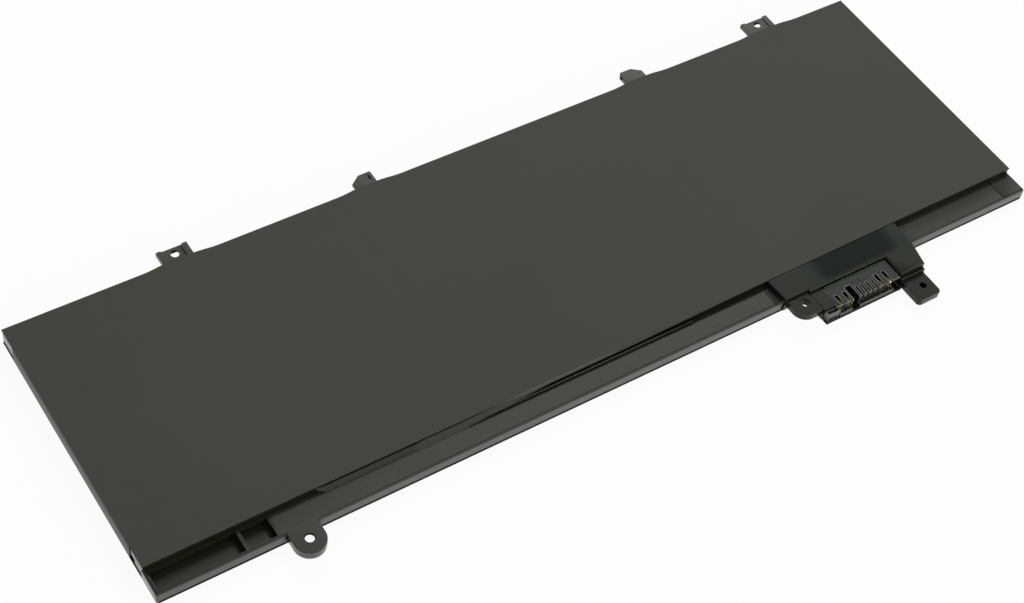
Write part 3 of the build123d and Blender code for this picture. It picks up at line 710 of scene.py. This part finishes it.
finishes.update({
    "adhesive": speckled("cloudy_adhesive", "#B9B7AC", "#CFCDC3", spot=1.5, roughness=0.45, ior=1.47),
    "tape": speckled("amber_tape", "#9A5A16", "#B4701F", spot=2.0, roughness=0.25, ior=1.7, coat=0.5),
    "circuit_board": speckled(
        "solder_mask", "#0D3A22", "#14492C", spot=0.8, roughness=0.30, ior=1.5, coat=0.4,
    ),
    "insulator": speckled("fish_paper", "#23231F", "#2D2D29", spot=0.6, roughness=0.70, ior=1.5),
    "chip": speckled("moulded_epoxy", "#161617", "#1F1F21", spot=0.4, roughness=0.55, ior=1.55),
    "ceramic": speckled("fired_ceramic", "#8E7355", "#A88C6B", spot=0.4, roughness=0.50, ior=1.6),
})
print("finishes in all:", len(finishes))

# %% [markdown]
# ## Dressing the solids
#
# The pack's solids are made of fourteen different materials. The finishes could be put on solid
# by solid, but each solid carries the name of a material slot in its record, so the table from
# slot to finish is enough to dress them all.

# %% Dress the solids
slot_of = {part["node"]: part["material_slot"] for part in frame["record"]["subparts"]}
for name, solid in nodes.items():
    solid.data.materials.clear()
    solid.data.materials.append(finishes[slot_of[name]])
print("solids dressed:", len(nodes))

# %% [markdown]
# ## The top film: its outline
#
# The film is one sheet glued over the cells and folded down over both ends. It could be a flat
# plate, but the real sheet is slack: it dips by a twentieth of a millimetre round each cell,
# swells out at the roots of the tabs and hooks, and along the middle of the step its front edge
# slips over and curls. A grid is the natural start for that. Its rear edge follows the solid
# film's own outline, which is read from the frame, and every other change is a smooth function of
# place.

# %% Film outline
def smooth(value, start, end):
    """0 before start, 1 after end and a smooth rise between; start may be above end."""
    share = np.clip((value - start) / (end - start), 0, 1)
    return share * share * (3 - 2 * share)


def rear_outline():
    """Rear edge of the solid film: X and Y of its corners, from left to right."""
    corners = {
        (round(v.co.x, 6), round(v.co.y, 6))
        for v in nodes["top_film"].data.vertices
        if v.co.z > film_top - 0.01 * MM and v.co.y > block_rear - 0.1 * MM
    }
    return np.array(sorted(corners))


outline = rear_outline()
edge_blur = np.linspace(-2.0, 2.0, 9) * MM      # the rear edge is averaged over these


def rear_edge(x):
    """Y of the film's rear edge at x, with its corners softened as a pulled film softens them."""
    return float(np.mean(np.interp(x + edge_blur, outline[:, 0], outline[:, 1])))


print("film rear edge has", len(outline), "corners")

# %% [markdown]
# ## The top film: its slack
#
# The sheet is glued to the flat faces of the cells and hangs free between them. So it has a
# shallow valley over each gap, slightly bowed, one along the cells' front edge, and fainter ones
# along the rear and the left. Cloth simulation could find them, but a bell curve across each line
# is quicker, and its width and depth can be chosen.

# %% Film slack
slack = 0.05 * MM
cell_boxes = [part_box(f"cell_{number}") for number in (1, 2, 3)]
cell_front = cell_boxes[0][0].y + 3.0 * MM
gaps = [(a[1].x + b[0].x) / 2 for a, b in zip(cell_boxes, cell_boxes[1:])]
gap_bow = 4 * MM
gap_width = 2.2 * MM
gap_start = (cell_front, cell_front + 12 * MM)              # the valleys over the gaps fade in
gap_end = (block_rear - 4 * MM, block_rear - 14 * MM)       # and out over these stretches
front_width = 1.6 * MM
border_width = 3 * MM
border_share = 0.6
rear_border = block_rear - 9 * MM
left_border = left_end + 8 * MM
end_margin = 5 * MM


def valley(distance, width):
    """1 on a line, falling to 0 some way off as a bell curve does."""
    return math.exp(-(distance / width) ** 2)


def film_drop(x, y):
    """How far the film lies below its highest level at a place."""
    bow = gap_bow * math.sin(math.pi * (y - step_y) / block_depth)
    along = smooth(y, *gap_start) * smooth(y, *gap_end)
    valleys = [along * valley(x - gap - bow, gap_width) for gap in gaps]
    valleys.append(valley(y - cell_front, front_width))
    valleys.append(border_share * valley(y - rear_border, border_width))
    valleys.append(border_share * valley(x - left_border, border_width))
    inside = smooth(x, left_end, left_end + end_margin) * smooth(x, right_end, right_end - end_margin)
    return slack * inside * max(valleys)


print("slack in mm:", round(slack / MM, 3), "valleys between the cells:", len(gaps))

# %% [markdown]
# ## The top film: its grid and flaps
#
# The flaps are part of the same sheet, folded down over the end walls. Separate plates would show
# a seam at the fold, so they are the grid's end edges pulled straight down. The grid itself
# starts as a unit square that is spread over the cell block, with its last rows drawn out to the
# wavy rear edge. It is kept 0.005 mm inside the solids' box, which leaves room for the rounding
# of its folds.

# %% Film grid and flaps
inset = 0.005 * MM
grid_columns = 240
grid_rows = 60
drawn_from = 0.8              # share of the depth from which rows are drawn out to the rear edge
flap_start = step_y + 6.4 * MM
flap_end = block_rear - 6.0 * MM


def place_film_grid(shape):
    """Spreads a unit grid over the cell block, out to its wavy rear edge."""
    front = film_low.y
    for vertex in shape.verts:
        x = left_end + inset + (vertex.co.x + 1) / 2 * (right_end - left_end - 2 * inset)
        share = (vertex.co.y + 1) / 2
        y = front + share * (block_rear - front)
        y += smooth(share, drawn_from, 1.0) * (rear_edge(x) - block_rear)
        vertex.co = Vector((x, y, film_top - inset - film_drop(x, y)))


def pull(shape, edges, move):
    """Extrudes open edges and moves the new vertices by move(vertex)."""
    made = bmesh.ops.extrude_edge_only(shape, edges=edges)["geom"]
    new_vertices = [item for item in made if isinstance(item, bmesh.types.BMVert)]
    for vertex in new_vertices:
        vertex.co += move(vertex)
    return [item for item in made if isinstance(item, bmesh.types.BMEdge)
            and all(end in new_vertices for end in item.verts)]


def fold_flaps(shape):
    """Pulls the end edges down over both end walls."""
    reach = Vector((0, 0, film_low.z - film_top))
    for end in (left_end, right_end):
        side = [
            edge for edge in shape.edges
            if all(abs(v.co.x - end) < 2 * inset and flap_start < v.co.y < flap_end for v in edge.verts)
        ]
        pull(shape, side, lambda vertex: reach)


film_shape = bmesh.new()
bmesh.ops.create_grid(film_shape, x_segments=grid_columns, y_segments=grid_rows, size=1)
place_film_grid(film_shape)
fold_flaps(film_shape)
print("film grid with its flaps:", len(film_shape.faces), "faces")

# %% [markdown]
# ## The top film: its front edge
#
# Along the step the loose edge of the sheet slips over and curls. One bent plate would give it the
# same curl all along, and the real one changes. So it is made as the flaps are, pulled forward
# and down, but in five small steps, after five cross-sections: flat, tucked against the step,
# draped, rolled and lifted. Each pair is how far a step reaches forward and how far it falls, in
# mm, and between their places along the pack the sections are blended.

# %% Film front edge
flat_edge = [(0.01, 0.0)] * 5
tucked_edge = [(0.10, 0.0), (0.02, 0.50), (0.03, 0.45), (0.60, 0.35), (0.65, 0.33)]
draped_edge = [(0.10, 0.0), (0.03, 0.20), (0.60, 0.55), (0.60, 0.50), (0.50, 0.38)]
rolled_edge = [(0.12, 0.0), (0.12, 0.04), (0.16, 0.14), (0.18, 0.19), (0.12, 0.12)]
lifted_edge = [(0.12, 0.0), (0.06, 0.0), (0.05, 0.0), (0.03, 0.0), (0.02, 0.0)]
# Each section at its place along the pack, in mm from the left end.
front_sections = {
    47.5: flat_edge, 50.5: tucked_edge, 77: tucked_edge, 78.2: draped_edge, 92: draped_edge,
    120: rolled_edge, 146: rolled_edge, 192: lifted_edge, 240: flat_edge,
}
front_places = list(front_sections)
front_profiles = np.array(list(front_sections.values()))


def front_move(vertex, step):
    """How one step of the front edge moves a vertex, from the sections on both sides of it."""
    place = (vertex.co.x - left_end) / MM
    reach, fall = (np.interp(place, front_places, front_profiles[:, step, part]) for part in (0, 1))
    return Vector((0, -reach, -fall)) * MM


def shape_front_edge(shape):
    """Pulls the front edge forward and down in small steps, along one stretch."""
    start = left_end + front_places[0] * MM
    end = left_end + front_places[-1] * MM
    edges = [
        edge for edge in shape.edges
        if all(v.co.y < film_low.y + 0.01 * MM and start < v.co.x < end for v in edge.verts)
    ]
    for step in range(len(flat_edge)):
        edges = pull(shape, edges, lambda vertex: front_move(vertex, step))


shape_front_edge(film_shape)
bmesh.ops.recalc_face_normals(film_shape, faces=film_shape.faces)
print("film with its front edge:", len(film_shape.faces), "faces")

# %% [markdown]
# ## The top film: from sheet to piece
#
# The sheet becomes an object that rides on the pack and is shown in place of the solid film. Its
# folds and its thickness could be modelled face by face, but modifiers do it in one go: a Bevel
# rounds the folds, Solidify gives the sheet its 0.15 mm, and a finer Bevel takes the sharpness
# off the cut edge.

# %% Make the film
film_gauge = 0.15 * MM


def add_piece(name, shape, slot_name, sharp_angle):
    """Turns a bmesh into an object of the pack that rides on it."""
    mesh = bpy.data.meshes.new(name)
    shape.to_mesh(mesh)
    shape.free()
    for face in mesh.polygons:
        face.use_smooth = True
    mesh.set_sharp_from_angle(angle=math.radians(sharp_angle))
    mesh.materials.append(finishes[slot_name])
    piece = bpy.data.objects.new(name, mesh)
    bpy.context.scene.collection.objects.link(piece)
    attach(piece, "root")
    return piece


def round_edges(piece, name, width, segments, from_angle, harden):
    """Bevel modifier on edges that bend by more than an angle in degrees; width is in mm."""
    bevel = piece.modifiers.new(name, "BEVEL")
    bevel.width = width * MM
    bevel.segments = segments
    bevel.limit_method = "ANGLE"
    bevel.angle_limit = math.radians(from_angle)
    bevel.harden_normals = harden


top_film = add_piece("film_sheet", film_shape, "top_film", sharp_angle=60)
round_edges(top_film, "fold", width=0.3, segments=3, from_angle=40, harden=False)
gauge = top_film.modifiers.new("gauge", "SOLIDIFY")
gauge.thickness = film_gauge
gauge.offset = -1
round_edges(top_film, "rim", width=0.04, segments=2, from_angle=60, harden=True)
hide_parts("top_film")
print("film faces:", len(top_film.data.polygons))

# %% [markdown]
# ## Softer edges on the mouldings
#
# No moulded edge is truly sharp: the frame and the connector have edge radii of a tenth of a
# millimetre or a little more, and those catch the light as fine pale lines. The loose triangles
# of a solid are merged in a copy, its flat areas are dissolved back into single faces, and a
# Bevel modifier then rounds only the edges that are left.

# %% Softened copies
def softened_copy(node_name, piece_name, width):
    """Copy of a solid with rounded edges that is shown in its place; width is in mm."""
    shape = bmesh.new()
    shape.from_mesh(nodes[node_name].data)
    bmesh.ops.remove_doubles(shape, verts=shape.verts, dist=0.001 * MM)
    bmesh.ops.dissolve_limit(shape, angle_limit=math.radians(1), verts=shape.verts, edges=shape.edges)
    piece = add_piece(piece_name, shape, slot_of[node_name], sharp_angle=30)
    round_edges(piece, "rounding", width, segments=2, from_angle=35, harden=True)
    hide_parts(node_name)
    return piece


moulded_frame = softened_copy("frame", "moulded_frame", width=0.12)
plug_shell = softened_copy("connector_block", "plug_shell", width=0.14)
print("frame faces:", len(moulded_frame.data.polygons), "plug faces:", len(plug_shell.data.polygons))

# %% [markdown]
# ## How far the pack has grown
#
# The dressed pack has to stay in the box of its solids, so how far it grows past that box is printed.

# %% Print the growth
visual_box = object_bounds()
growth = [visual - cad for visual, cad in zip(visual_box, cad_box)]
print("grown in mm:", [round(value / MM, 3) for corner in growth for value in corner])
